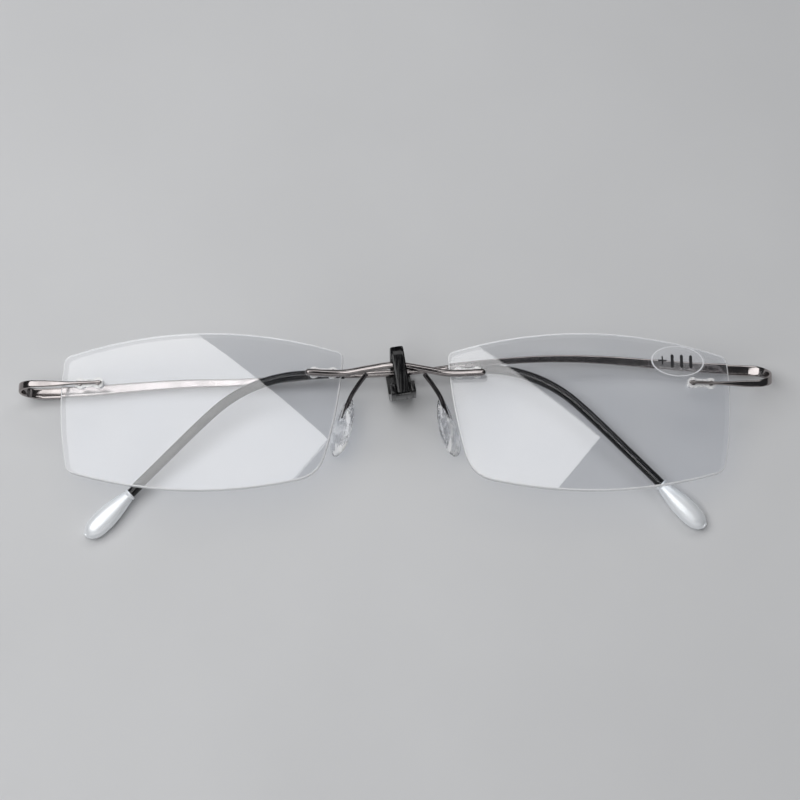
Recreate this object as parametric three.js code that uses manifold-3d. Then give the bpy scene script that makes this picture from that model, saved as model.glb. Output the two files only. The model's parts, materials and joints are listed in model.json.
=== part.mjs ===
// Rimless, hingeless reading glasses, folded and held shut by a moulded clip, lying on their back.
// Millimetres. +Z is up from the table, +X is the wearer's left, and the glasses' front faces up.
//
// The glasses are drawn upright in a frame of their own: x across, y up as worn, z out of the front.
// That frame's z = 0 is the foremost point of the lenses, and y = 0 is the line of the outer pegs.
// The whole frame is then laid back on the table. The clip is loose, so it lies flat by itself.
import * as THREE from "three";
import { mergeVertices } from "three/addons/utils/BufferGeometryUtils.js";
import Module from "manifold-3d";

const wasm = await Module();
wasm.setup();

// ---------------------------------------------------------------- driving dimensions

const SIDES = { left: -1, right: 1 }; // as they lie: left is -X

const lens = {
  width: 52,
  gap: 19, // between the two lenses
  thickness: 2,
  curve: 125, // radius of both faces
  wrap: THREE.MathUtils.degToRad(2), // each lens faces this far outwards
  midHeight: -5.55, // of the lens's widest box, from the peg line
};
const lensMidX = lens.gap / 2 + lens.width / 2;

const peg = { radius: 0.42, spacing: 3.4, past: 0.5 }; // past: how far it shows behind the lens
const bushing = { flange: 1.05, flangeHeight: 0.35, barrel: 0.7, bore: 0.5, web: 0.75, lift: 0.06 };
const wireSeat = bushing.lift + bushing.flangeHeight + 0.12; // from the lens up to a wire
const holeRadius = 0.78;
const nasalPegs = { x: 13.3, y: 1.75 };
const outerPegs = { x: 56.5, y: 0 };

const bridge = { radius: 0.65, overhang: 3.5, sag: 0.25 }; // overhang: past the pegs' middle

const padArm = { radius: 0.42, root: new THREE.Vector3(5.4, 1.38, -1.05) };
const pad = {
  length: 11.4,
  width: 6.2,
  thickness: 2.6,
  centre: new THREE.Vector3(9.8, -7.5, -6.7),
  flare: THREE.MathUtils.degToRad(14), // the lower ends stand apart
  splay: THREE.MathUtils.degToRad(30), // the rear edges stand apart
  slot: 0.85, // radius of the pocket that takes the arm
};

const leg = { overhang: 2.6, thickness: 0.6, thin: 0.6, wide: 1.25, z: -2.9 };
const flexure = { radius: 3.3, reach: 69.8 }; // reach: half of the overall width
const flexureX = flexure.reach - flexure.radius;
const jointGap = 0.3; // between the pieces that one strip is divided into

const blade = { width: 2.0, thickness: 0.55, wire: 0.8 };
const stripPower = 5; // of the ring where the strip is flat
const ear = { start: 16, radius: 26, angle: THREE.MathUtils.degToRad(45), straight: 31.9 };
const rise = { bend: 1.6, blade: 3.45, wire: 3.0 }; // of the temple, above the peg line
const risen = { from: -34, to: -14 }; // the stretch in which the blade runs level
const spread = { blade: 2.2, wire: 0.9 }; // how far the crossed temples stand from their mean
const crossing = { from: -34, to: 8 }; // the stretch in which the temples swap height
const depth = { blade: leg.z - 2 * flexure.radius, ear: -6.0, tip: -6.55 };
// Each temple comes nearer the lenses along `length`: the right one until this far `apart` from
// the middle, and the left one from as far past it.
const forward = { length: 44, apart: 6 };
const droop = { from: 36, to: 57 }; // the stretch in which the end sinks to the table
const sleeve = { start: 9.5, thin: 0.55, radius: 0.9, taper: 7, bore: 0.5 };
const tip = { length: 10.8, width: 4.2, thickness: 3.0, coreDepth: 4 };

const clip = {
  width: 4.5,
  wall: 1.3,
  height: 9.65, // down the front, as the glasses are worn
  depth: 13.4,
  foot: 3.3, // how far the back wall stops short of the lower side
  shoulder: 9.7, // the lower wall slants up to this height, and stands straight above it
  lip: 2.3,
  notch: 2.85,
  strap: 2.45,
  strapThickness: 0.9,
  corner: 1.3,
  turn: THREE.MathUtils.degToRad(9),
  x: 1.6,
  y: -3.2, // of its lower side
};

const sticker = { x: 52.3, y: 4.05, width: 10.4, height: 5.9, thickness: 0.08, lift: 0.02 };

const layBack = THREE.MathUtils.degToRad(7); // the lens's top edge lies higher
const lensHeight = 11; // of z = 0 over the table, at the peg line

// ---------------------------------------------------------------- materials

const finish = (color, roughness, metalness) =>
  new THREE.MeshStandardMaterial({ color, roughness, metalness });

const gunmetal = finish(0x6b6465, 0.28, 1);
const darkWire = finish(0x4a4648, 0.35, 1);
const clearLens = finish(0xdde2ee, 0.02, 0);
const clearPlastic = finish(0xe8ecf2, 0.15, 0);
const silicone = finish(0xe4e6ea, 0.25, 0);
const blackSleeve = finish(0x0d0d0f, 0.15, 0);
const pearlTip = finish(0xdfe7f0, 0.3, 0.1);
const blackClip = finish(0x151516, 0.3, 0);
const film = finish(0xf2f2f2, 0.3, 0);

for (const seeThrough of [clearLens, clearPlastic, silicone, film]) {
  seeThrough.transparent = true;
  seeThrough.opacity = 0.4;
}

// ---------------------------------------------------------------- solids

const upright = new THREE.Vector3(0, 1, 0);

// A closed geometry as a manifold-3d solid.
function solid(geometry) {
  const bare = geometry.clone();
  bare.deleteAttribute("normal");
  bare.deleteAttribute("uv");
  const merged = mergeVertices(bare, 1e-4);
  return new wasm.Manifold(
    new wasm.Mesh({
      numProp: 3,
      vertProperties: merged.attributes.position.array,
      triVerts: new Uint32Array(merged.index.array),
    }),
  );
}

function geometryOf(manifold) {
  const made = manifold.getMesh();
  const geometry = new THREE.BufferGeometry();
  geometry.setAttribute("position", new THREE.BufferAttribute(made.vertProperties, 3));
  geometry.setIndex(new THREE.BufferAttribute(made.triVerts, 1));
  return geometry;
}

// A closed body through a row of rings, each a list of as many points, with a flat end at each side.
function loft(rings) {
  const count = rings[0].length;
  const points = rings.flat();
  const faces = [];
  for (let r = 0; r + 1 < rings.length; r++)
    for (let i = 0; i < count; i++) {
      const a = r * count + i;
      const b = r * count + ((i + 1) % count);
      faces.push(a, b, b + count, a, b + count, a + count);
    }
  const last = (rings.length - 1) * count;
  for (let i = 1; i + 1 < count; i++) {
    faces.push(0, i + 1, i);
    faces.push(last, last + i, last + i + 1);
  }
  const geometry = new THREE.BufferGeometry().setFromPoints(points);
  geometry.setIndex(faces);
  return geometry;
}

// A ring around a point: a superellipse, round at power 2 and nearly a rectangle at power 5.
function ring(centre, across, over, halfWidth, halfThickness, sides, power) {
  const bend = (value) => Math.sign(value) * Math.abs(value) ** (2 / power);
  return Array.from({ length: sides }, (_, i) => {
    const angle = (2 * Math.PI * (i + 0.5)) / sides;
    return centre
      .clone()
      .addScaledVector(across, halfWidth * bend(Math.cos(angle)))
      .addScaledVector(over, halfThickness * bend(Math.sin(angle)));
  });
}

// A body swept along a curve. size(distance, length) gives its half width, its half thickness and,
// unless it is round, its ring's power. Its width stays as near as it can to the direction `wide`.
function sweep(curve, wide, size, { step = 1.2, sides = 12, domes = [0, 0] } = {}) {
  const length = curve.getLength();
  const middle = Math.max(2, Math.ceil((length - domes[0] - domes[1]) / step));
  const stops = [];
  const domeStops = [0.02, 0.15, 0.4, 0.7];
  if (domes[0]) stops.push(...domeStops.map((part) => part * domes[0]));
  for (let i = 0; i <= middle; i++)
    stops.push(domes[0] + ((length - domes[0] - domes[1]) * i) / middle);
  if (domes[1]) stops.push(...domeStops.map((part) => length - part * domes[1]).reverse());
  const roundOff = (distance, dome) =>
    dome && distance < dome ? Math.sqrt(1 - (1 - distance / dome) ** 2) : 1;
  const rings = stops.map((distance) => {
    const centre = curve.getPointAt(distance / length);
    const along = curve.getTangentAt(distance / length);
    const over = new THREE.Vector3().crossVectors(along, wide).normalize();
    const across = new THREE.Vector3().crossVectors(over, along);
    const scale = roundOff(distance, domes[0]) * roundOff(length - distance, domes[1]);
    const [halfWidth, halfThickness, power = 2] = size(distance, length);
    return ring(centre, across, over, halfWidth * scale, halfThickness * scale, sides, power);
  });
  return loft(rings);
}

// A straight round post along z, from z = low to z = high.
function post(x, y, low, high, radius, sides = 16) {
  const geometry = new THREE.CylinderGeometry(radius, radius, high - low, sides);
  geometry.rotateX(Math.PI / 2);
  geometry.translate(x, y, (low + high) / 2);
  return geometry;
}

function box(width, height, thickness, x, y, z) {
  return new THREE.BoxGeometry(width, height, thickness).translate(x, y, z);
}

// ---------------------------------------------------------------- lens

// Height of the right lens's front face. Its centre of curvature lies behind the wrapped lens.
const lensCurveCentre = new THREE.Vector3(
  lensMidX - lens.curve * Math.sin(lens.wrap),
  lens.midHeight,
  -lens.curve * Math.cos(lens.wrap),
);
function lensFront(x, y) {
  const dx = Math.abs(x) - lensCurveCentre.x;
  const dy = y - lensCurveCentre.y;
  return lensCurveCentre.z + Math.sqrt(lens.curve ** 2 - dx ** 2 - dy ** 2);
}

// The lens's four corners before rounding, and how far the side after each one bulges.
const nasalX = lens.gap / 2 + 0.1;
const lensCorners = [
  { at: [nasalX, 5.75], cut: 1.3, bulge: 3.7 },
  { at: [lensMidX + lens.width / 2 - 0.1, 5.3], cut: 1.2, bulge: 0.9 },
  { at: [lensMidX + lens.width / 2 - 0.9, -16.2], cut: 1.2, bulge: 3.5 },
  { at: [nasalX + 4.5, -17.2], cut: 3.6, bulge: 0.8 },
];

// Points around the right lens, clockwise seen from the front.
function lensOutline() {
  const corners = lensCorners.map((corner) => new THREE.Vector2(...corner.at));
  const sidePoints = 13;
  const cornerPoints = 4;
  const sides = corners.map((from, i) => {
    const to = corners[(i + 1) % corners.length];
    const outward = new THREE.Vector2(from.y - to.y, to.x - from.x).normalize();
    const control = from.clone().lerp(to, 0.5).addScaledVector(outward, 2 * lensCorners[i].bulge);
    const length = from.distanceTo(to);
    const first = lensCorners[i].cut / length;
    const last = 1 - lensCorners[(i + 1) % corners.length].cut / length;
    const curve = new THREE.QuadraticBezierCurve(from, control, to);
    return Array.from({ length: sidePoints }, (_, k) =>
      curve.getPoint(first + ((last - first) * k) / (sidePoints - 1)),
    );
  });
  return sides.flatMap((points, i) => {
    const next = sides[(i + 1) % sides.length];
    const corner = corners[(i + 1) % corners.length];
    const turn = new THREE.QuadraticBezierCurve(points.at(-1), corner, next[0]);
    const rounding = Array.from({ length: cornerPoints }, (_, k) =>
      turn.getPoint((k + 1) / (cornerPoints + 1)),
    );
    return [...points, ...rounding];
  });
}

function lensBlank() {
  const outline = lensOutline();
  const middle = new THREE.Vector2(lensMidX, lens.midHeight);
  const bands = [0.02, 0.22, 0.42, 0.61, 0.8, 0.92, 1];
  const face = (drop, part) =>
    outline.map((point) => {
      const { x, y } = middle.clone().lerp(point, part);
      return new THREE.Vector3(x, y, lensFront(x, y) - drop);
    });
  return loft([
    ...bands.map((part) => face(0, part)),
    ...bands.toReversed().map((part) => face(lens.thickness, part)),
  ]);
}

// The frame of a pair of pegs on the right lens: its origin is on the lens's front face, its x runs
// through both pegs and its z stands out of the lens.
function pegFrame(pair) {
  const point = new THREE.Vector3(pair.x, pair.y, lensFront(pair.x, pair.y));
  const normal = point.clone().sub(lensCurveCentre).normalize();
  const up = new THREE.Vector3(0, 1, 0);
  const across = new THREE.Vector3().crossVectors(up, normal).normalize();
  up.crossVectors(normal, across);
  return new THREE.Matrix4().makeBasis(across, up, normal).setPosition(point);
}

const pegPairs = [nasalPegs, outerPegs];
const pegSteps = [-peg.spacing / 2, peg.spacing / 2];

function makeLens() {
  let body = solid(lensBlank());
  for (const pair of pegPairs)
    for (const x of pegSteps) {
      const drill = post(x, 0, -2 * lens.thickness, lens.thickness, holeRadius);
      body = body.subtract(solid(drill.applyMatrix4(pegFrame(pair))));
    }
  return geometryOf(body);
}

// ---------------------------------------------------------------- fastening

// A clear double bush: two barrels through the lens, joined by a figure-of-eight flange in front.
function makeBushing(pair) {
  const { flange, flangeHeight, barrel, bore, web, lift } = bushing;
  const top = lift + flangeHeight;
  const bottom = -lens.thickness - peg.past / 2;
  let body = solid(box(peg.spacing, 2 * web, flangeHeight, 0, 0, lift + flangeHeight / 2));
  for (const x of pegSteps) {
    body = body.add(solid(post(x, 0, lift, top, flange, 20)));
    body = body.add(solid(post(x, 0, bottom, top - flangeHeight / 2, barrel)));
  }
  for (const x of pegSteps) body = body.subtract(solid(post(x, 0, bottom - 1, top + 1, bore)));
  return geometryOf(body).applyMatrix4(pegFrame(pair));
}

// A wire on the right lens with its pair of pegs, which reach from inside the wire to behind the lens.
function withPegs(wire, pair, wireHeight) {
  return pegSteps.reduce((body, x) => {
    const shank = post(x, 0, -lens.thickness - peg.past, wireHeight, peg.radius);
    return body.add(solid(shank.applyMatrix4(pegFrame(pair))));
  }, wire);
}

// ---------------------------------------------------------------- bridge and nose pads

function bridgeCurve() {
  const height = wireSeat + bridge.radius;
  const onLens = (x) => new THREE.Vector3(x, -bridge.sag, height).applyMatrix4(pegFrame(nasalPegs));
  const half = [onLens(bridge.overhang), onLens(-bridge.overhang), new THREE.Vector3(5.4, 2.2, -0.3)];
  const crown = new THREE.Vector3(0, 2.85, 0.3);
  const other = half.map((point) => new THREE.Vector3(-point.x, point.y, point.z));
  return new THREE.CatmullRomCurve3([...other, crown, ...half.toReversed()]);
}

function makeBridge() {
  const round = () => [bridge.radius, bridge.radius];
  const ends = { step: 1.1, domes: [bridge.radius, bridge.radius] };
  const wire = solid(sweep(bridgeCurve(), upright, round, ends));
  const height = wireSeat + bridge.radius;
  const rightSide = withPegs(wire, nasalPegs, height);
  return geometryOf(rightSide.add(rightSide.mirror([1, 0, 0])));
}

function padArmCurve() {
  return new THREE.CatmullRomCurve3([
    padArm.root,
    new THREE.Vector3(7.0, -0.3, -3.3),
    new THREE.Vector3(8.4, -2.2, -5.2),
    new THREE.Vector3(9.3, -4.6, -6.1),
    new THREE.Vector3(9.7, -6.1, -6.3),
  ]);
}

function makePadArm() {
  return sweep(padArmCurve(), new THREE.Vector3(1, 0, 0), () => [padArm.radius, padArm.radius], {
    step: 0.9,
    sides: 10,
    domes: [0, padArm.radius],
  });
}

// A soft drop-shaped pad, flatter on the side that meets the nose, with a pocket for its arm.
function makePad() {
  const shape = new THREE.SphereGeometry(1, 24, 16);
  const position = shape.attributes.position;
  for (let i = 0; i < position.count; i++) {
    const y = position.getY(i);
    const narrow = 1 - 0.16 * y; // the upper end is the slimmer one
    position.setXYZ(
      i,
      position.getX(i) * (pad.thickness / 2) * narrow,
      y * (pad.length / 2),
      position.getZ(i) * (pad.width / 2) * narrow,
    );
  }
  shape.rotateY(-pad.splay);
  shape.rotateZ(pad.flare);
  shape.translate(pad.centre.x, pad.centre.y, pad.centre.z);
  const arm = padArmCurve();
  const beyond = arm.getPoint(1).addScaledVector(arm.getTangent(1), pad.slot - padArm.radius);
  const opening = new THREE.CatmullRomCurve3([...arm.points, beyond]);
  const round = () => [pad.slot, pad.slot];
  const pocket = sweep(opening, new THREE.Vector3(1, 0, 0), round, { sides: 12 });
  return geometryOf(solid(shape).subtract(solid(pocket)));
}

// ---------------------------------------------------------------- temples

// Each temple is one strip. From the outer pegs it runs outwards, turns back on itself in a bend
// that stands in for a hinge, and narrows into the wire that carries the ear sleeve. `run` is
// the distance across the glasses from the middle, positive past it, away from the bend. The
// right temple comes forward before the middle and the left one after it, so the left one, which
// is folded last, lies behind all the way and both can open.
function templePoint(side, run, y) {
  const { smoothstep, lerp } = THREE.MathUtils;
  const crossed = smoothstep(run, crossing.from, crossing.to);
  const lean = side * lerp(spread.blade, -spread.wire, crossed);
  const comesFrom = side === SIDES.right ? -forward.apart - forward.length : forward.apart;
  const lifted = smoothstep(run, comesFrom, comesFrom + forward.length);
  const sunk = smoothstep(run, droop.from, droop.to);
  const tipDepth = depth.tip - lean * Math.tan(layBack); // both tips reach the table
  const z = lerp(depth.blade, depth.ear, lifted) + (tipDepth - depth.ear) * sunk;
  return new THREE.Vector3(-side * run, y + lean, z);
}

function bendCurve(side) {
  const back = templePoint(side, -flexureX, rise.bend);
  return new (class extends THREE.Curve {
    getPoint(t, target = new THREE.Vector3()) {
      const angle = Math.PI * t;
      return target.set(
        side * (flexureX + flexure.radius * Math.sin(angle)),
        back.y * THREE.MathUtils.smoothstep(t, 0, 1),
        leg.z - flexure.radius + flexure.radius * Math.cos(angle),
      );
    }
  })();
}

// Straight along the blade, round the ear bend, and straight down to the tip.
function templeCurve(side) {
  const { smoothstep, lerp } = THREE.MathUtils;
  const points = [];
  const straightSteps = 9;
  for (let i = 0; i < straightSteps; i++) {
    const run = lerp(-flexureX + jointGap, ear.start, i / straightSteps);
    const climb = (rise.blade - rise.bend) * smoothstep(run, -flexureX, risen.from);
    const descent = (rise.blade - rise.wire) * smoothstep(run, risen.to, ear.start / 4);
    points.push(templePoint(side, run, rise.bend + climb - descent));
  }
  const bendSteps = 5;
  for (let i = 0; i <= bendSteps; i++) {
    const angle = (ear.angle * i) / bendSteps;
    const run = ear.start + ear.radius * Math.sin(angle);
    points.push(templePoint(side, run, rise.wire - ear.radius * (1 - Math.cos(angle))));
  }
  const bendEnd = [
    ear.start + ear.radius * Math.sin(ear.angle),
    rise.wire - ear.radius * (1 - Math.cos(ear.angle)),
  ];
  for (const part of [0.5, 1]) {
    const distance = ear.straight * part;
    const run = bendEnd[0] + distance * Math.cos(ear.angle);
    points.push(templePoint(side, run, bendEnd[1] - distance * Math.sin(ear.angle)));
  }
  return new THREE.CatmullRomCurve3(points);
}

// Part of a curve, between two distances along it.
function stretch(curve, from, to) {
  const length = curve.getLength();
  return new (class extends THREE.Curve {
    getPoint(t, target = new THREE.Vector3()) {
      return target.copy(curve.getPointAt((from + (to - from) * t) / length));
    }
  })();
}

// The right strip's leg, along the front of the lens and out to where the bend starts.
function makeLeg() {
  const height = wireSeat + leg.thickness / 2;
  const onLens = (x) => new THREE.Vector3(x, 0, height).applyMatrix4(pegFrame(outerPegs));
  const curve = new THREE.CatmullRomCurve3([
    onLens(-leg.overhang),
    onLens(leg.overhang),
    new THREE.Vector3(lensMidX + lens.width / 2 + 1, 0, leg.z + 0.2),
    new THREE.Vector3(flexureX - jointGap, 0, leg.z),
  ]);
  const size = (distance, length) => {
    const flare = THREE.MathUtils.smoothstep(distance, length * 0.4, length);
    const width = THREE.MathUtils.lerp(leg.thin, leg.wide, flare);
    return [width / 2, leg.thickness / 2, THREE.MathUtils.lerp(2, stripPower, flare)];
  };
  const wire = sweep(curve, upright, size, { domes: [leg.thickness / 2, 0] });
  return geometryOf(withPegs(solid(wire), outerPegs, height));
}

function makeFlexure(side) {
  const size = (distance, length) => [
    THREE.MathUtils.lerp(leg.wide, blade.width, distance / length) / 2,
    THREE.MathUtils.lerp(leg.thickness, blade.thickness, distance / length) / 2,
    stripPower,
  ];
  return sweep(bendCurve(side), upright, size, { step: 0.7 });
}

function makeBlade(side) {
  const whole = templeCurve(side);
  const length = whole.getLength();
  const core = stretch(whole, 0, length - tip.length + tip.coreDepth);
  const narrowed = flexureX; // the strip is down to its wire at the middle of the glasses
  const size = (distance) => {
    const part = THREE.MathUtils.clamp(distance / narrowed, 0, 1);
    const rounded = THREE.MathUtils.smoothstep(part, 0.6, 1);
    return [
      THREE.MathUtils.lerp(blade.width, blade.wire, part) / 2,
      THREE.MathUtils.lerp(blade.thickness, blade.wire, rounded) / 2,
      THREE.MathUtils.lerp(stripPower, 2, rounded),
    ];
  };
  return sweep(core, upright, size, { step: 2.2, domes: [0, blade.wire / 2] });
}

// The distance along a temple at which it has gone this far across.
function distanceAt(curve, side, run) {
  const length = curve.getLength();
  let low = 0;
  let high = length;
  while (high - low > 0.01) {
    const middle = (low + high) / 2;
    if (-side * curve.getPointAt(middle / length).x < run) low = middle;
    else high = middle;
  }
  return low;
}

function makeSleeve(side) {
  const whole = templeCurve(side);
  const end = whole.getLength() - tip.length;
  const start = distanceAt(whole, side, sleeve.start);
  const size = (distance) => {
    const grown = THREE.MathUtils.smoothstep(distance, 0, sleeve.taper);
    const radius = THREE.MathUtils.lerp(sleeve.thin, sleeve.radius, grown);
    return [radius, radius];
  };
  const outside = sweep(stretch(whole, start, end - 0.05), upright, size, { step: 1.6, sides: 14 });
  const bore = sweep(stretch(whole, start - 2, end + 1), upright, () => [sleeve.bore, sleeve.bore], {
    step: 2.2,
    sides: 12,
  });
  return geometryOf(solid(outside).subtract(solid(bore)));
}

// A flattened drop, widest towards its end, with a blind socket for the wire.
function makeTip(side) {
  const whole = templeCurve(side);
  const end = whole.getLength();
  const start = end - tip.length;
  const size = (distance, length) => {
    const part = distance / length;
    const swell = Math.sin(Math.PI * Math.min(1, 0.08 + 0.72 * part)) ** 1.2;
    return [
      THREE.MathUtils.lerp(sleeve.radius, tip.width / 2, swell),
      THREE.MathUtils.lerp(sleeve.radius, tip.thickness / 2, swell),
    ];
  };
  const drop = sweep(stretch(whole, start + 0.05, end), upright, size, {
    step: 0.8,
    sides: 18,
    domes: [0, 2.2],
  });
  const socketPath = stretch(whole, start - 1, start + tip.coreDepth + 0.4);
  const socket = sweep(socketPath, upright, () => [sleeve.bore, sleeve.bore], { sides: 12 });
  return geometryOf(solid(drop).subtract(solid(socket)));
}

// ---------------------------------------------------------------- clip

// The clip lies flat: y runs up as worn, and z up from its back wall, which rests on the table.
function makeClipBase() {
  const profile = new THREE.Shape();
  const { wall, depth: front, lip, foot, shoulder } = clip;
  const top = clip.height - clip.strapThickness - 0.15;
  const round = 0.5;
  const slant = (height) => foot * (1 - height / shoulder);
  profile.moveTo(foot + round, 0);
  profile.lineTo(top, 0);
  profile.lineTo(top, wall);
  profile.lineTo(slant(wall) + wall, wall);
  profile.lineTo(wall, shoulder);
  profile.lineTo(wall, front - wall);
  profile.lineTo(lip, front - wall);
  profile.quadraticCurveTo(lip + 0.3, front - wall / 2, lip - 0.3, front - 0.1);
  profile.lineTo(round, front);
  profile.quadraticCurveTo(0, front, 0, front - round);
  profile.lineTo(0, shoulder);
  profile.lineTo(slant(round), round);
  profile.quadraticCurveTo(foot, 0, foot + round, 0);
  const bar = new THREE.ExtrudeGeometry(profile, {
    depth: clip.width,
    bevelEnabled: false,
    curveSegments: 4,
  });
  bar.translate(0, 0, -clip.width / 2);
  // the profile's x and y become the clip's y and z, and the extrusion runs across the glasses
  const [x, y, z] = [[1, 0, 0], [0, 1, 0], [0, 0, 1]].map((axis) => new THREE.Vector3(...axis));
  bar.applyMatrix4(new THREE.Matrix4().makeBasis(y, z, x));
  const notchDepth = clip.strapThickness + 0.15;
  const notch = box(clip.notch, 2 * lip + 2, 2 * notchDepth, 0, lip, front);
  return geometryOf(solid(bar).subtract(solid(notch)));
}

function makeClipStrap() {
  const half = clip.strapThickness / 2;
  const y = clip.height - half;
  const z = clip.depth - half;
  const route = new THREE.CurvePath();
  const bottom = new THREE.Vector3(0, y, 0.3);
  const turnStart = new THREE.Vector3(0, y, z - clip.corner);
  const turnEnd = new THREE.Vector3(0, y - clip.corner, z);
  route.add(new THREE.LineCurve3(bottom, turnStart));
  route.add(new THREE.QuadraticBezierCurve3(turnStart, new THREE.Vector3(0, y, z), turnEnd));
  route.add(new THREE.LineCurve3(turnEnd, new THREE.Vector3(0, 0.35, z)));
  const size = () => [clip.strap / 2, half, stripPower];
  return sweep(route, new THREE.Vector3(1, 0, 0), size, { step: 0.9 });
}

// ---------------------------------------------------------------- sticker

// A thin oval film on the front of the right lens.
function makeSticker() {
  const sides = 32;
  const bands = [0.03, 0.5, 1];
  const face = (height, part) =>
    Array.from({ length: sides }, (_, i) => {
      const angle = (2 * Math.PI * i) / sides;
      const x = sticker.x + (sticker.width / 2) * part * Math.cos(angle);
      const y = sticker.y + (sticker.height / 2) * part * Math.sin(angle);
      return new THREE.Vector3(x, y, lensFront(x, y) + height);
    });
  const low = sticker.lift;
  return loft([
    ...bands.map((part) => face(low, part)),
    ...bands.toReversed().map((part) => face(low + sticker.thickness, part)),
  ]);
}

// ---------------------------------------------------------------- assembly

function addMesh(group, name, geometry, material) {
  const mesh = new THREE.Mesh(geometry, material);
  mesh.name = name;
  group.add(mesh);
  return mesh;
}

// The right-hand piece's mirror image, with its faces turned back to face out.
function mirrored(geometry) {
  return geometryOf(solid(geometry).mirror([1, 0, 0]));
}

const glasses = new THREE.Group();
glasses.rotation.x = layBack;
glasses.position.z = lensHeight;

addMesh(glasses, "bridge", makeBridge(), gunmetal);
addMesh(glasses, "power_sticker", makeSticker(), film);

const pairs = {
  lens: [makeLens(), clearLens],
  nasal_bushing: [makeBushing(nasalPegs), clearPlastic],
  temporal_bushing: [makeBushing(outerPegs), clearPlastic],
  pad_arm: [makePadArm(), darkWire],
  nose_pad: [makePad(), silicone],
  endpiece: [makeLeg(), gunmetal],
};
for (const [name, [geometry, material]] of Object.entries(pairs)) {
  addMesh(glasses, `right_${name}`, geometry, material);
  addMesh(glasses, `left_${name}`, mirrored(geometry), material);
}

for (const [name, side] of Object.entries(SIDES)) {
  addMesh(glasses, `${name}_flexure`, makeFlexure(side), gunmetal);
  addMesh(glasses, `${name}_temple_blade`, makeBlade(side), gunmetal);
  addMesh(glasses, `${name}_ear_sleeve`, makeSleeve(side), blackSleeve);
  addMesh(glasses, `${name}_temple_tip`, makeTip(side), pearlTip);
}

const clipGroup = new THREE.Group();
addMesh(clipGroup, "clip_base", makeClipBase(), blackClip);
addMesh(clipGroup, "clip_strap", makeClipStrap(), blackClip);
clipGroup.rotation.z = clip.turn;
clipGroup.position.set(clip.x, clip.y, 0);

const eyeglasses = new THREE.Group();
eyeglasses.add(glasses, clipGroup);

// The origin is the middle of the whole object's footprint, on the table.
eyeglasses.updateMatrixWorld(true);
const extent = new THREE.Box3().setFromObject(eyeglasses, true);
const middle = extent.getCenter(new THREE.Vector3());
eyeglasses.position.set(-middle.x, -middle.y, -extent.min.z);

export default eyeglasses;
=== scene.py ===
"""Rimless eyeglasses, folded and clipped: their looks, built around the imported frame.

Lengths are in metres unless a name says millimetres. A piece that stands for a CAD node starts as
a copy of it, so it lies where the frame says. The other pieces are detail that the frame leaves
out: the print on the sticker, and the collars and the moulding marks of the temple tips.
"""

import json
import math

import bmesh
import bpy
import numpy as np
from mathutils import Matrix, Vector


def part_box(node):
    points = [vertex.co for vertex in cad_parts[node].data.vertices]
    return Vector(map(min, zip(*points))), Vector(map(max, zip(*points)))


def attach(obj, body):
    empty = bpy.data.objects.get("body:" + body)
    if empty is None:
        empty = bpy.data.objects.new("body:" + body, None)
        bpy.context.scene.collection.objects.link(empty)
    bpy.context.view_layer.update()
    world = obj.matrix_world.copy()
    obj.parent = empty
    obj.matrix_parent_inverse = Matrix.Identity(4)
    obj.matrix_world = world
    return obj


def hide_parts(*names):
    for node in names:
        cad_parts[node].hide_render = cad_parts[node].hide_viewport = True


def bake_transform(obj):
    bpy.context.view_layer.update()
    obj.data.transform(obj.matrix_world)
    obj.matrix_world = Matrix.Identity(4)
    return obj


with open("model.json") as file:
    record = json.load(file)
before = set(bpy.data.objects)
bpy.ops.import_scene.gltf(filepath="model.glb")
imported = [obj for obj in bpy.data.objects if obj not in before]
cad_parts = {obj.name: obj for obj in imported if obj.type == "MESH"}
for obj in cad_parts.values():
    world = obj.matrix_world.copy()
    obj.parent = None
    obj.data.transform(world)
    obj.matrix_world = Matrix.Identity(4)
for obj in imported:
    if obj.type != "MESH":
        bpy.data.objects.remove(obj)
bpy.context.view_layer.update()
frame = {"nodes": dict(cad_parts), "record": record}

MM = 0.001
SIDES = {"left": -1, "right": 1}
NODES = frame["nodes"]
RECORD = frame["record"]
SLOT_OF = {part["node"]: part["material_slot"] for part in RECORD["subparts"]}
BODY_OF = {node: body for body, nodes in RECORD["behaviour"]["bodies"].items() for node in nodes}


# ---------------------------------------------------------------- materials

# The sockets of a colour mix node, which has several of the same name.
MIX_FACTOR, MIX_LOW, MIX_HIGH, MIX_COLOUR = 0, 6, 7, 2


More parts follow.
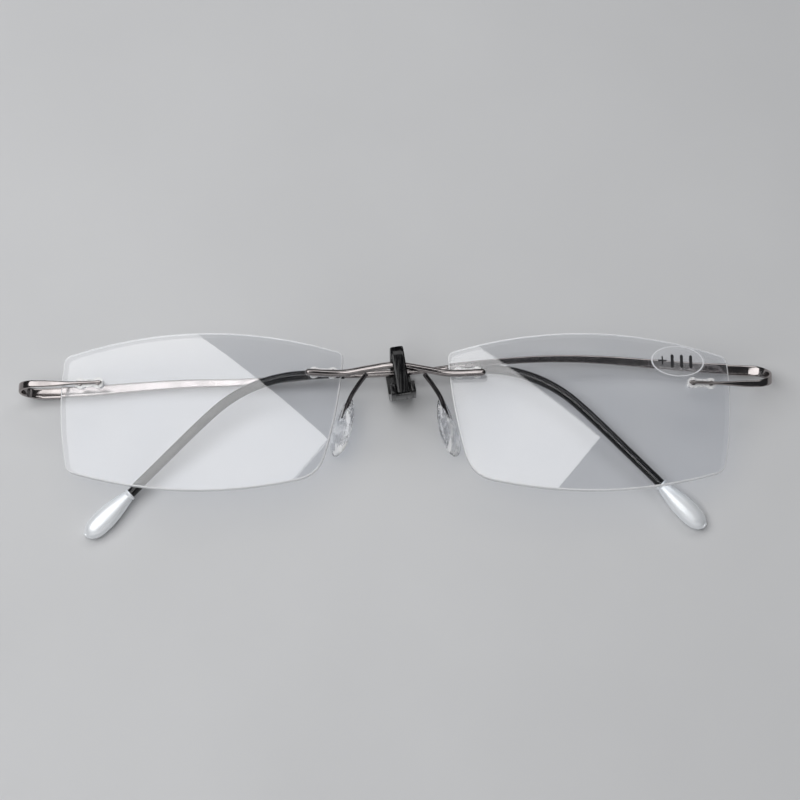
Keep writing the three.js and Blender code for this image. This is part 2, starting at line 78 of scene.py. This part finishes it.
class Look:
    """A procedural material: one Principled shader and what feeds it, in the object's own metres."""

    def __init__(self, name, sockets):
        self.name = name
        self.material = bpy.data.materials.new(name)
        self.material.use_nodes = True
        self.tree = self.material.node_tree
        self.shader = self.tree.nodes["Principled BSDF"]
        self.output = self.tree.nodes["Material Output"]
        for socket, value in sockets.items():
            self.shader.inputs[socket].default_value = value

    def add(self, kind, inputs=None, **settings):
        """A node with its settings, and its inputs set to values or linked to sockets."""
        node = self.tree.nodes.new(kind)
        for key, value in settings.items():
            setattr(node, key, value)
        for key, value in (inputs or {}).items():
            if isinstance(value, bpy.types.NodeSocket):
                self.tree.links.new(value, node.inputs[key])
            else:
                node.inputs[key].default_value = value
        return node

    def place(self, stretch=(1, 1, 1)):
        """The point on the piece at rest, squeezed along the axes to draw a pattern out."""
        point = self.add("ShaderNodeTexCoord").outputs["Object"]
        return self.add("ShaderNodeMapping", {"Vector": point, "Scale": stretch}).outputs["Vector"]

    def noise(self, grain_mm, detail=3, stretch=(1, 1, 1)):
        """A smooth noise from 0 to 1 whose spots are about this large."""
        inputs = {"Vector": self.place(stretch), "Scale": 1 / (grain_mm * MM), "Detail": detail}
        return self.add("ShaderNodeTexNoise", inputs).outputs[0]

    def cells(self, grain_mm):
        """A flat random value for each cell of about this size."""
        inputs = {"Vector": self.place(), "Scale": 1 / (grain_mm * MM)}
        return self.add("ShaderNodeTexVoronoi", inputs).outputs["Color"]

    def spread(self, factor, low, high, window=(0.3, 0.7)):
        """A number that goes from low to high as the factor crosses its window."""
        inputs = {
            "Value": factor,
            "From Min": window[0],
            "From Max": window[1],
            "To Min": low,
            "To Max": high,
        }
        return self.add("ShaderNodeMapRange", inputs).outputs[0]

    def vary(self, socket, factor, low, high, window=(0.3, 0.7)):
        """A socket of the shader goes from low to high with the factor."""
        self.tree.links.new(self.spread(factor, low, high, window), self.shader.inputs[socket])

    def colour(self, factor, low, high, window=(0.3, 0.7)):
        """The base colour goes from low to high with the factor."""
        mix = self.add("ShaderNodeMix", data_type="RGBA")
        self.tree.links.new(self.spread(factor, 0, 1, window), mix.inputs[MIX_FACTOR])
        mix.inputs[MIX_LOW].default_value = (*low, 1)
        mix.inputs[MIX_HIGH].default_value = (*high, 1)
        self.tree.links.new(mix.outputs[MIX_COLOUR], self.shader.inputs["Base Color"])

    def bump(self, factor, depth_mm, strength=1.0):
        """The surface seems to rise and fall with the factor."""
        inputs = {"Height": factor, "Distance": depth_mm * MM, "Strength": strength}
        normal = self.add("ShaderNodeBump", inputs).outputs["Normal"]
        self.tree.links.new(normal, self.shader.inputs["Normal"])

    def lets_lamps_through(self, tint):
        """Clear pieces are glass to the eye, and only a tint to the light that makes shadows."""
        lamp_ray = self.add("ShaderNodeLightPath").outputs["Is Shadow Ray"]
        clear = self.add("ShaderNodeBsdfTransparent", {"Color": (*tint, 1)}).outputs[0]
        glass = self.shader.outputs[0]
        mix = self.add("ShaderNodeMixShader", {0: lamp_ray, 1: glass, 2: clear})
        self.tree.links.new(mix.outputs[0], self.output.inputs["Surface"])


def drawn_wire(name, dark, light, roughness):
    """Plated wire and strip, with fine lines along it from drawing and polishing."""
    look = Look(name, {"Metallic": 1.0, "Anisotropic": 0.35, "Specular Tint": (1.0, 0.96, 0.95, 1)})
    lines = look.noise(0.09, detail=4, stretch=(0.02, 1, 1))
    clouds = look.noise(3.0, detail=2)
    look.colour(clouds, dark, light)
    look.vary("Roughness", lines, roughness - 0.03, roughness + 0.05)
    look.bump(lines, depth_mm=0.0008, strength=0.25)
    return look


def lens_resin():
    """Polished resin. Its coating takes a faint smear here and there."""
    look = Look("lens_resin", {"IOR": 1.62, "Transmission Weight": 1.0})
    smears = look.noise(9, detail=5, stretch=(1, 0.35, 1))
    look.colour(look.noise(14, detail=2), (0.955, 0.965, 0.985), (0.985, 0.99, 1.0))
    look.vary("Roughness", smears, 0.0, 0.005, window=(0.5, 0.75))
    look.lets_lamps_through((0.93, 0.94, 0.96))
    return look


def lens_edge():
    """The ground and buffed edge, paler and duller than the faces."""
    look = Look("lens_edge", {"IOR": 1.6, "Transmission Weight": 0.1})
    grinding = look.noise(0.12, detail=4, stretch=(1, 1, 0.15))
    look.colour(grinding, (0.93, 0.94, 0.96), (0.99, 0.99, 1.0))
    look.vary("Roughness", grinding, 0.12, 0.3)
    look.bump(grinding, depth_mm=0.006, strength=0.5)
    look.lets_lamps_through((0.8, 0.82, 0.86))
    return look


def clear_nylon():
    """Milky nylon with a rippled surface."""
    look = Look("clear_nylon", {"IOR": 1.53, "Transmission Weight": 0.15})
    ripple = look.noise(0.4, detail=4)
    look.colour(ripple, (0.5, 0.51, 0.54), (1.0, 1.0, 1.0), window=(0.3, 0.45))
    look.vary("Roughness", ripple, 0.03, 0.12)
    look.bump(ripple, depth_mm=0.16, strength=0.9)
    look.lets_lamps_through((0.85, 0.87, 0.9))
    return look


def silicone():
    """Clear soft silicone, cast with slow waves. Its colour carries painted glints and shade: pale grey
    to white along the waves, and a few streaks turned milky white where glints would be.
    """
    look = Look("silicone", {"IOR": 1.43, "Coat Weight": 0.6, "Coat Roughness": 0.03})
    waves_and_painted_glints = look.noise(1.3, detail=4, stretch=(1, 0.3, 1))
    painted_glint_streaks = look.noise(1.2, detail=3, stretch=(1, 0.3, 1))
    # Painted glints and shade: the colour runs from pale grey to white along the waves.
    look.colour(waves_and_painted_glints, (0.78, 0.79, 0.82), (1.0, 1.0, 1.0), window=(0.4, 0.52))
    # Painted highlight: a few streaks turn milky white where glints would be.
    look.vary("Transmission Weight", painted_glint_streaks, 0.98, 0.2, window=(0.52, 0.6))
    look.vary("Roughness", waves_and_painted_glints, 0.0, 0.05)
    look.bump(waves_and_painted_glints, depth_mm=0.4)
    look.lets_lamps_through((0.82, 0.84, 0.87))
    return look


def black_sleeve():
    """Glossy black tubing, a little uneven."""
    look = Look("black_sleeve", {"IOR": 1.5})
    skin = look.noise(0.8, detail=4)
    look.colour(skin, (0.002, 0.002, 0.0025), (0.006, 0.006, 0.007))
    look.vary("Roughness", skin, 0.05, 0.12)
    look.bump(look.noise(1.2, detail=2), depth_mm=0.002, strength=0.4)
    return look


def pearl_tip():
    """Pearl white lacquer: cool flakes under a clear coat."""
    look = Look("pearl_tip", {"Metallic": 0.3, "Coat Weight": 0.7, "Coat Roughness": 0.1})
    flakes = look.cells(0.05)
    look.colour(flakes, (0.9, 0.95, 1.0), (0.98, 0.99, 1.0), window=(0.1, 0.9))
    look.vary("Roughness", look.noise(0.25, detail=4), 0.34, 0.46)
    look.bump(look.noise(0.8), depth_mm=0.008, strength=0.3)
    return look


def black_clip():
    """Moulded plastic that shines a little, with flow lines along the strap and fine scuffs."""
    look = Look("black_clip", {"IOR": 1.5, "Specular IOR Level": 0.4})
    lines = look.noise(0.3, detail=4, stretch=(1, 0.08, 0.08))
    scuffs = look.noise(0.7, detail=6, stretch=(0.5, 1, 1))
    look.colour(scuffs, (0.0025, 0.0025, 0.003), (0.008, 0.008, 0.009), window=(0.45, 0.75))
    look.vary("Roughness", lines, 0.1, 0.3, window=(0.4, 0.6))
    look.bump(lines, depth_mm=0.06, strength=0.6)
    return look


def sticker_film():
    """Thin clear film, nearly invisible but for its own gloss."""
    look = Look("sticker_film", {"IOR": 1.45, "Alpha": 0.07})
    look.colour(look.noise(2.0, detail=2), (0.86, 0.87, 0.9), (0.96, 0.96, 0.98))
    look.vary("Roughness", look.noise(0.6), 0.05, 0.2)
    look.bump(look.noise(2.5, detail=2), depth_mm=0.02, strength=0.3)
    return look


def print_ink():
    """The dull black ink of the figure."""
    look = Look("print_ink", {"IOR": 1.5})
    look.colour(look.noise(0.15), (0.008, 0.008, 0.01), (0.03, 0.03, 0.034))
    look.vary("Roughness", look.noise(0.2), 0.35, 0.6)
    return look


def print_line():
    """The pale ink of the ring."""
    look = Look("print_line", {"IOR": 1.5})
    look.colour(look.noise(0.2), (0.7, 0.71, 0.74), (0.88, 0.89, 0.92))
    look.vary("Roughness", look.noise(0.2), 0.2, 0.4)
    return look


def table_top():
    """A plain pale surface with almost no pattern."""
    look = Look("table_top", {"Specular IOR Level": 0.25})
    look.colour(look.noise(60, detail=4), (0.64, 0.645, 0.655), (0.68, 0.685, 0.695))
    look.vary("Roughness", look.noise(2, detail=4), 0.55, 0.7)
    return look


LOOKS = {
    look.name: look
    for look in (
        drawn_wire("gunmetal_wire", (0.25, 0.23, 0.227), (0.37, 0.343, 0.338), 0.12),
        drawn_wire("dark_wire", (0.06, 0.056, 0.058), (0.12, 0.112, 0.115), 0.16),
        lens_resin(),
        lens_edge(),
        clear_nylon(),
        silicone(),
        black_sleeve(),
        pearl_tip(),
        black_clip(),
        sticker_film(),
        print_ink(),
        print_line(),
    )
}

# Light reaches the floor straight through these. If the floor saw them too, it would be lit twice.
CLEAR = ("lens_resin", "clear_nylon", "silicone", "sticker_film")


# ---------------------------------------------------------------- mesh helpers

WELD_GAP = 0.001 * MM  # corners nearer than this become one
SHORTEST_EDGE = 0.0005 * MM
PAIR_BEND = 0.25  # radians that two triangles may turn by and still become one face
PAIR_SKEW = 1.6  # radians that the corners of that face may be off square
SHADING_EDGE_DEG = 40
SURFACE_CREASE_DEG = 50


def turns_past(edge, degrees):
    """Whether the faces on both sides of an edge turn by more than this. An open edge is flat."""
    return edge.calc_face_angle(0) > math.radians(degrees)


def welded(node):
    """A CAD node's mesh to work on, its shared corners joined and its triangles paired up again."""
    bm = bmesh.new()
    bm.from_mesh(NODES[node].data)
    bmesh.ops.remove_doubles(bm, verts=bm.verts, dist=WELD_GAP)
    bmesh.ops.dissolve_degenerate(bm, dist=SHORTEST_EDGE, edges=bm.edges)
    bmesh.ops.join_triangles(
        bm, faces=bm.faces, angle_face_threshold=PAIR_BEND, angle_shape_threshold=PAIR_SKEW
    )
    bmesh.ops.recalc_face_normals(bm, faces=bm.faces)
    return bm


def add_piece(name, bm, looks):
    """A smooth-shaded object made from a bmesh, with edges where its faces turn sharply."""
    for face in bm.faces:
        face.smooth = True
    for edge in bm.edges:
        edge.smooth = not turns_past(edge, SHADING_EDGE_DEG)
    mesh = bpy.data.meshes.new(name)
    bm.to_mesh(mesh)
    bm.free()
    for look in looks:
        mesh.materials.append(LOOKS[look].material)
    piece = bpy.data.objects.new(name, mesh)
    piece.visible_diffuse = looks[0] not in CLEAR
    bpy.context.scene.collection.objects.link(piece)
    return piece


def crease_sharp_edges(bm):
    """Subdivision keeps these edges sharp."""
    layer = bm.edges.layers.float.new("crease_edge")
    for edge in bm.edges:
        edge[layer] = float(turns_past(edge, SURFACE_CREASE_DEG))


def bevel(bm, edges, width, segments):
    bmesh.ops.bevel(
        bm, geom=edges, offset=width, segments=segments, profile=0.5, affect="EDGES", clamp_overlap=True
    )


def stand_for(piece, node):
    """The piece replaces a CAD node, which it hides, and moves with its body."""
    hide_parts(node)
    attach(piece, BODY_OF[node])


def go_with(piece, node):
    """An added detail: it moves with the body of a CAD node beside it."""
    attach(piece, BODY_OF[node])


def refined(node, name, levels=0):
    """A welded, smooth copy of a CAD node, subdivided where its outline needs it."""
    bm = welded(node)
    if levels:
        crease_sharp_edges(bm)
    piece = add_piece(name, bm, [SLOT_OF[node]])
    piece.modifiers.new("flat_faces_look_flat", "WEIGHTED_NORMAL").keep_sharp = True
    if levels:
        surface = piece.modifiers.new("surface", "SUBSURF")
        surface.levels = levels
        surface.render_levels = levels
    return piece


def mean_point(points):
    return sum(points, Vector()) / len(points)


def fit_sphere(faces):
    """The centre and radius of the sphere that the corners of these faces lie on."""
    corners = {v.co.to_tuple() for face in faces for v in face.verts}
    points = np.array(sorted(corners))
    rows = np.hstack([2 * points, np.ones((len(points), 1))])
    answer = np.linalg.lstsq(rows, (points**2).sum(1), rcond=None)[0]
    centre = answer[:3]
    return Vector(centre), math.sqrt(answer[3] + centre @ centre)


def lathe(profile, centre, axis, sides=24):
    """A closed turned body: its profile is pairs of distance along the axis and radius."""
    bm = bmesh.new()
    turn = Vector((0, 0, 1)).rotation_difference(axis).to_matrix().to_4x4()
    place = Matrix.Translation(centre) @ turn
    rings = []
    for along, radius in profile:
        ring = []
        for i in range(sides):
            angle = 2 * math.pi * i / sides
            around = Vector((radius * math.cos(angle), radius * math.sin(angle), along))
            ring.append(bm.verts.new(place @ around))
        rings.append(ring)
    for lower, upper in zip(rings, rings[1:]):
        for i in range(sides):
            j = (i + 1) % sides
            bm.faces.new((lower[i], lower[j], upper[j], upper[i]))
    bm.faces.new(rings[0][::-1])
    bm.faces.new(rings[-1])
    return bm


# ---------------------------------------------------------------- lenses

RIM_BEVEL = 0.22 * MM
FACING = 0.7  # a lens face points at least this much up or down
FACET_DEPTH = 0.06 * MM  # how far a drilled hole's edge may lie under the sphere
SAME_WAY = 0.985  # how nearly a polished facet faces as the sphere does there


def outer_wall(bm, middle):
    """The faces of the wall round the lens's outline, without those of the drilled holes."""
    walls = {face for face in bm.faces if abs(face.normal.z) < FACING}
    reached = {max(walls, key=lambda face: (face.calc_center_median() - middle).length)}
    edge_of_search = set(reached)
    while edge_of_search:
        near = {f for face in edge_of_search for edge in face.edges for f in edge.link_faces}
        edge_of_search = (near & walls) - reached
        reached |= edge_of_search
    return reached


def bevel_rim(bm, middle):
    """Polish the two edges of the outline, where the wall meets the faces."""
    wall = outer_wall(bm, middle)
    rim = [edge for edge in bm.edges if sum(face in wall for face in edge.link_faces) == 1]
    bevel(bm, rim, RIM_BEVEL, segments=2)


def lens_spheres(bm):
    """For the front and the back face: which way it faces, and its sphere's centre and radius."""
    spheres = []
    for facing in (1, -1):
        faces = [face for face in bm.faces if face.normal.z * facing > FACING]
        spheres.append((facing, *fit_sphere(faces)))
    return spheres


def polished_faces(bm, spheres):
    """The facing and the sphere's centre of each facet that lies on a sphere, by its index."""
    polished = {}
    bm.faces.index_update()
    for face in bm.faces:
        for facing, centre, radius in spheres:
            outward = facing * (face.calc_center_median() - centre).normalized()
            depths = [abs((v.co - centre).length - radius) for v in face.verts]
            if max(depths) < FACET_DEPTH and face.normal.dot(outward) > SAME_WAY:
                polished[face.index] = (facing, centre)
    return polished


def shade_as_spheres(mesh, polished):
    """The polished facets are shaded by their sphere, and the others as they are."""
    as_they_are = Vector((0, 0, 0))
    normals = [as_they_are] * len(mesh.loops)
    for index, (facing, centre) in polished.items():
        for loop in mesh.polygons[index].loop_indices:
            point = mesh.vertices[mesh.loops[loop].vertex_index].co
            normals[loop] = facing * (point - centre).normalized()
    mesh.normals_split_custom_set(normals)


def make_lens(side):
    """The lens with a polished bevel round its rim, and faces whose shading is truly spherical."""
    node = f"{side}_lens"
    bm = welded(node)
    spheres = lens_spheres(bm)
    bevel_rim(bm, mean_point(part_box(node)))
    polished = polished_faces(bm, spheres)
    for face in bm.faces:
        face.material_index = 0 if face.index in polished else 1
    piece = add_piece(f"{side}_lens_blank", bm, ["lens_resin", "lens_edge"])
    shade_as_spheres(piece.data, polished)
    stand_for(piece, node)


# ---------------------------------------------------------------- sticker

PRINT_LIFT = 0.01 * MM
PRINT_DEPTH = 0.015 * MM
RING_INSIDE = 0.93  # of the film's outline
RING_OUTSIDE = 0.985
PLUS_X = -3.0 * MM
PLUS_ARM = 0.8 * MM
PLUS_HALF_LINE = 0.14 * MM
BAR_XS_MM = (-1.1, 0.7, 2.5)
BAR_HALF_WIDTH = 0.3 * MM
BAR_HALF_HEIGHT = 1.25 * MM


def sticker_place():
    """A function from a place on the film and a height over it to a point, and the film's half size."""
    bm = welded("power_sticker")
    centre, radius = fit_sphere([face for face in bm.faces if face.normal.z > FACING])
    bm.free()
    low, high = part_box("power_sticker")
    middle = (low + high) / 2
    out = (Vector((middle.x, middle.y, high.z)) - centre).normalized()
    across = Vector((1, 0, 0))
    up = out.cross(across).normalized()

    def place(x, y, height):
        return centre + (radius + height) * (radius * out + x * across + y * up).normalized()

    return place, (high.x - low.x) / 2, (high.y - low.y) / 2


def printed(name, look, place, outline, hole=None):
    """A thin raised print on the film. Its outline is closed, and so is its hole if it has one."""
    bm = bmesh.new()
    levels = (PRINT_LIFT, PRINT_LIFT + PRINT_DEPTH)
    loops = []
    for line in filter(None, (outline, hole)):
        loops.append([[bm.verts.new(place(x, y, height)) for x, y in line] for height in levels])
    for under, over in loops:
        for i in range(len(under)):
            j = (i + 1) % len(under)
            bm.faces.new((under[i], under[j], over[j], over[i]))
    for level in (0, 1):
        if hole:
            outside, inside = (loop[level] for loop in loops)
            for i in range(len(outside)):
                j = (i + 1) % len(outside)
                bm.faces.new((outside[i], outside[j], inside[j], inside[i]))
        else:
            bm.faces.new(loops[0][level])
    bmesh.ops.recalc_face_normals(bm, faces=bm.faces)
    go_with(add_piece(name, bm, [look]), "power_sticker")


def ellipse(half_width, half_height, points=72):
    angles = [2 * math.pi * i / points for i in range(points)]
    return [(half_width * math.cos(a), half_height * math.sin(a)) for a in angles]


def plus_sign(x, arm, half_line):
    """A plus from its centre to the ends of its arms, drawn a quarter at a time."""
    corners = [(arm, half_line), (half_line, half_line), (half_line, arm)]
    outline = []
    for quarter in range(4):
        for a, b in corners:
            for _ in range(quarter):
                a, b = -b, a
            outline.append((x + a, b))
    return outline


def rounded_bar(x, half_width, half_height, arc_points=6):
    """An upright bar with half-round ends."""
    straight = half_height - half_width
    arc = [math.pi * i / arc_points for i in range(arc_points + 1)]
    top = [(x + half_width * math.cos(a), straight + half_width * math.sin(a)) for a in arc]
    return top + [(2 * x - px, -py) for px, py in top]


def make_sticker():
    """The film, its outline, and a plain plus and three bars in place of its printed figure."""
    stand_for(refined("power_sticker", "sticker_film_oval"), "power_sticker")
    place, half_width, half_height = sticker_place()
    outside, inside = (
        ellipse(half_width * part, half_height * part) for part in (RING_OUTSIDE, RING_INSIDE)
    )
    printed("sticker_ring", "print_line", place, outside, inside)
    printed("sticker_plus", "print_ink", place, plus_sign(PLUS_X, PLUS_ARM, PLUS_HALF_LINE))
    for i, x in enumerate(BAR_XS_MM):
        bar = rounded_bar(x * MM, BAR_HALF_WIDTH, BAR_HALF_HEIGHT)
        printed(f"sticker_bar_{i + 1}", "print_ink", place, bar)


# ---------------------------------------------------------------- wires

END_CAP = 0.05 * MM  # a bend's points this near its innermost one are on its two ends
JOIN = 0.35 * MM  # how far a bend reaches into the pieces at its ends
INSET = 0.97  # of the section there, so that it stays inside them


def make_flexure(side):
    """The bend that stands in for a hinge. Its ends reach into the strip on both sides of it."""
    node = f"{side}_flexure"
    bm = welded(node)
    inner_x = min(abs(v.co.x) for v in bm.verts)
    ends = [v for v in bm.verts if abs(v.co.x) < inner_x + END_CAP]
    middle_z = sum(v.co.z for v in ends) / len(ends)
    upper = [v for v in ends if v.co.z > middle_z]
    lower = [v for v in ends if v.co.z <= middle_z]
    for cap in (upper, lower):
        centre = mean_point([v.co for v in cap])
        for v in cap:
            v.co = centre + (v.co - centre) * INSET
            v.co.x -= SIDES[side] * JOIN
    piece = add_piece(f"{side}_strip_bend", bm, [SLOT_OF[node]])
    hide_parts(node)
    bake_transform(piece)


def make_wires():
    stand_for(refined("bridge", "bridge_wire"), "bridge")
    for side in SIDES:
        for node in (f"{side}_endpiece", f"{side}_temple_blade", f"{side}_pad_arm"):
            stand_for(refined(node, f"{node}_wire"), node)
        make_flexure(side)


# ---------------------------------------------------------------- soft and moulded pieces

# Turned profiles in millimetres. Each pair is a distance along the tip and a radius.
COLLAR = (  # from the tip's mouth, where the sleeve goes in
    (-0.68, 0.94),
    (-0.64, 1.12),
    (-0.56, 1.2),
    (-0.3, 1.22),
    (-0.24, 1.1),
    (-0.1, 1.05),
    (0.1, 1.0),
)
GATE = (  # from the tip's far end, where the moulding left a mark
    (-0.5, 0.6),
    (-0.04, 0.62),
    (0.04, 0.58),
    (0.08, 0.48),
)
MOUTH_REACH = 0.7 * MM  # the mouth is the part of a tip this near its start
END_REACH = 0.3 * MM  # and its far end is the part this near its end
CLIP_FLAT_DEG = 1
CLIP_CORNER_DEG = 35
CLIP_BEVEL = 0.18 * MM


def temple_end(side):
    """The centres of a temple tip's mouth and far end, and the direction from one to the other."""
    tip = NODES[f"{side}_temple_tip"].data.vertices
    sleeve_middle = mean_point(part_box(f"{side}_ear_sleeve"))
    tip_middle = mean_point(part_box(f"{side}_temple_tip"))
    along = (tip_middle - sleeve_middle).normalized()
    reach = [v.co.dot(along) for v in tip]
    mouth = mean_point([v.co for v, r in zip(tip, reach) if r < min(reach) + MOUTH_REACH])
    far = mean_point([v.co for v, r in zip(tip, reach) if r > max(reach) - END_REACH])
    return mouth, far, (far - mouth).normalized()


def make_tip(side):
    """The pearl drop, the collar where the sleeve goes in and the moulding mark on its end."""
    node = f"{side}_temple_tip"
    stand_for(refined(node, f"{side}_tip_drop", levels=1), node)
    mouth, far, along = temple_end(side)
    for name, profile, centre in (("collar", COLLAR, mouth), ("gate_mark", GATE, far)):
        bm = lathe([(z * MM, r * MM) for z, r in profile], centre, along)
        go_with(add_piece(f"{side}_tip_{name}", bm, ["pearl_tip"]), node)


def make_clip():
    """The clip with rounded edges, and a smooth copy of its strap."""
    bm = welded("clip_base")
    flat = math.radians(CLIP_FLAT_DEG)
    bmesh.ops.dissolve_limit(bm, angle_limit=flat, verts=bm.verts, edges=bm.edges)
    corners = [edge for edge in bm.edges if turns_past(edge, CLIP_CORNER_DEG)]
    bevel(bm, corners, CLIP_BEVEL, segments=3)
    stand_for(add_piece("clip_shell", bm, ["black_clip"]), "clip_base")

    strap = refined("clip_strap", "clip_strap_band")
    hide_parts("clip_strap")
    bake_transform(strap)


def make_soft_pieces():
    for side in SIDES:
        stand_for(refined(f"{side}_nose_pad", f"{side}_pad_body", levels=1), f"{side}_nose_pad")
        stand_for(refined(f"{side}_ear_sleeve", f"{side}_sleeve_tube", levels=1), f"{side}_ear_sleeve")
        make_tip(side)
        for pair in ("nasal", "temporal"):
            node = f"{side}_{pair}_bushing"
            stand_for(refined(node, f"{node}_body"), node)


# ---------------------------------------------------------------- stage

CAMERA_TARGET = Vector((0.83, 5.95, 8.8)) * MM
CAMERA_DISTANCE = 0.45
CAMERA_ELEVATION_DEG = 72
CAMERA_NEAREST = 0.01
LONG_LENS_MM = 110
SENSOR_WIDTH_MM = 36
FLOOR_HALF_SIZE = 1.5
SKY_COLOUR = (0.9, 0.93, 1.0, 1)
SKY_STRENGTH = 0.05


def aim(thing, target):
    thing.rotation_euler = (target - thing.location).to_track_quat("-Z", "Y").to_euler()


def add_camera():
    """Steeply above the front, as far away as a tabletop camera with a long lens."""
    camera = bpy.data.objects.new("camera", bpy.data.cameras.new("camera"))
    bpy.context.scene.collection.objects.link(camera)
    bpy.context.scene.camera = camera
    camera.data.sensor_width = SENSOR_WIDTH_MM
    camera.data.lens = LONG_LENS_MM
    camera.data.clip_start = CAMERA_NEAREST
    elevation = math.radians(CAMERA_ELEVATION_DEG)
    back_and_up = Vector((0, -math.cos(elevation), math.sin(elevation)))
    camera.location = CAMERA_TARGET + CAMERA_DISTANCE * back_and_up
    aim(camera, CAMERA_TARGET)


def add_softbox(name, centre, size, power, turn_deg=None):
    """A softbox that faces straight down if it has a turn, and the middle of the floor if not."""
    light = bpy.data.lights.new(name, "AREA")
    light.shape = "RECTANGLE"
    light.size, light.size_y = size
    light.energy = power
    lamp = bpy.data.objects.new(name, light)
    bpy.context.scene.collection.objects.link(lamp)
    lamp.location = centre
    if turn_deg is None:
        aim(lamp, Vector((0, 0, 0)))
    else:
        lamp.rotation_euler = (0, 0, math.radians(turn_deg))


def add_floor():
    bm = bmesh.new()
    bmesh.ops.create_grid(bm, x_segments=1, y_segments=1, size=FLOOR_HALF_SIZE)
    mesh = bpy.data.meshes.new("floor")
    bm.to_mesh(mesh)
    bm.free()
    floor = bpy.data.objects.new("floor", mesh)
    bpy.context.scene.collection.objects.link(floor)
    mesh.materials.append(table_top().material)


def add_light():
    """Soft studio light from above, behind and in front. The lenses mirror the overhead softbox."""
    add_softbox("overhead_softbox", (-0.294, 0.0277, 0.55), size=(0.72, 0.48), power=2.9, turn_deg=140.9)
    add_softbox("back_softbox", (0.1, 0.62, 0.75), size=(0.9, 0.4), power=2.0)
    add_softbox("front_fill", (0, -0.5, 0.28), size=(0.9, 0.25), power=0.6)
    world = bpy.data.worlds.new("studio")
    bpy.context.scene.world = world
    world.use_nodes = True
    background = world.node_tree.nodes["Background"]
    background.inputs["Color"].default_value = SKY_COLOUR
    background.inputs["Strength"].default_value = SKY_STRENGTH
    bpy.context.scene.view_settings.view_transform = "Standard"


# ---------------------------------------------------------------- build

add_camera()
add_floor()
add_light()
for lens_side in SIDES:
    make_lens(lens_side)
make_sticker()
make_wires()
make_soft_pieces()
make_clip()
